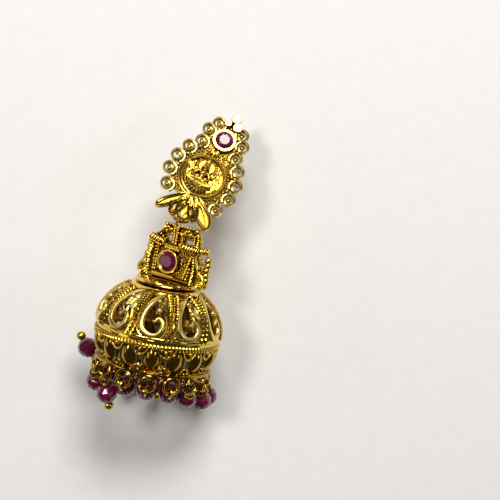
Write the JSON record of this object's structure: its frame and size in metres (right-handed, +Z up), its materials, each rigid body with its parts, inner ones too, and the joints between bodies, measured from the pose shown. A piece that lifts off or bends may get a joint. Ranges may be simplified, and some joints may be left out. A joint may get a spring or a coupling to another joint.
{
  "type": "jhumka earring",
  "caption": "Openwork bell earring with a fringe of ruby beads on wire pins, a pierced middle piece and a flower plate on a screw post, lying down.",
  "frame": {"origin": "middle of the bounding box, on the table that the earring lies on", "axes": "+Y along the bell's axis in plan, from the bead fringe to the flower plate; +X to the right of it; +Z up"},
  "size_m": [0.0304, 0.0626, 0.0268],
  "materials": {
    "gold": "polished yellow gold plating with darker recesses",
    "ruby": "faceted dark pink-red ruby, polished"
  },
  "bodies": {
    "root": {"bell": "gold", "plaque": "gold", "plaque_stone": "ruby", "link_ring": "gold", "stud_plate": "gold", "plate_stone": "ruby", "screw_post": "gold", "pin_01": "gold", "pin_02": "gold", "pin_03": "gold", "pin_04": "gold", "pin_05": "gold", "pin_06": "gold", "pin_07": "gold", "pin_08": "gold", "pin_09": "gold", "pin_10": "gold", "pin_11": "gold", "pin_12": "gold", "pin_13": "gold", "pin_14": "gold", "pin_15": "gold", "bead_01": "ruby", "bead_02": "ruby", "bead_03": "ruby", "bead_04": "ruby", "bead_05": "ruby", "bead_06": "ruby", "bead_07": "ruby", "bead_08": "ruby", "bead_09": "ruby", "bead_10": "ruby", "bead_11": "ruby", "bead_12": "ruby", "bead_13": "ruby", "bead_14": "ruby", "bead_15": "ruby"}
  },
  "joints": []
}
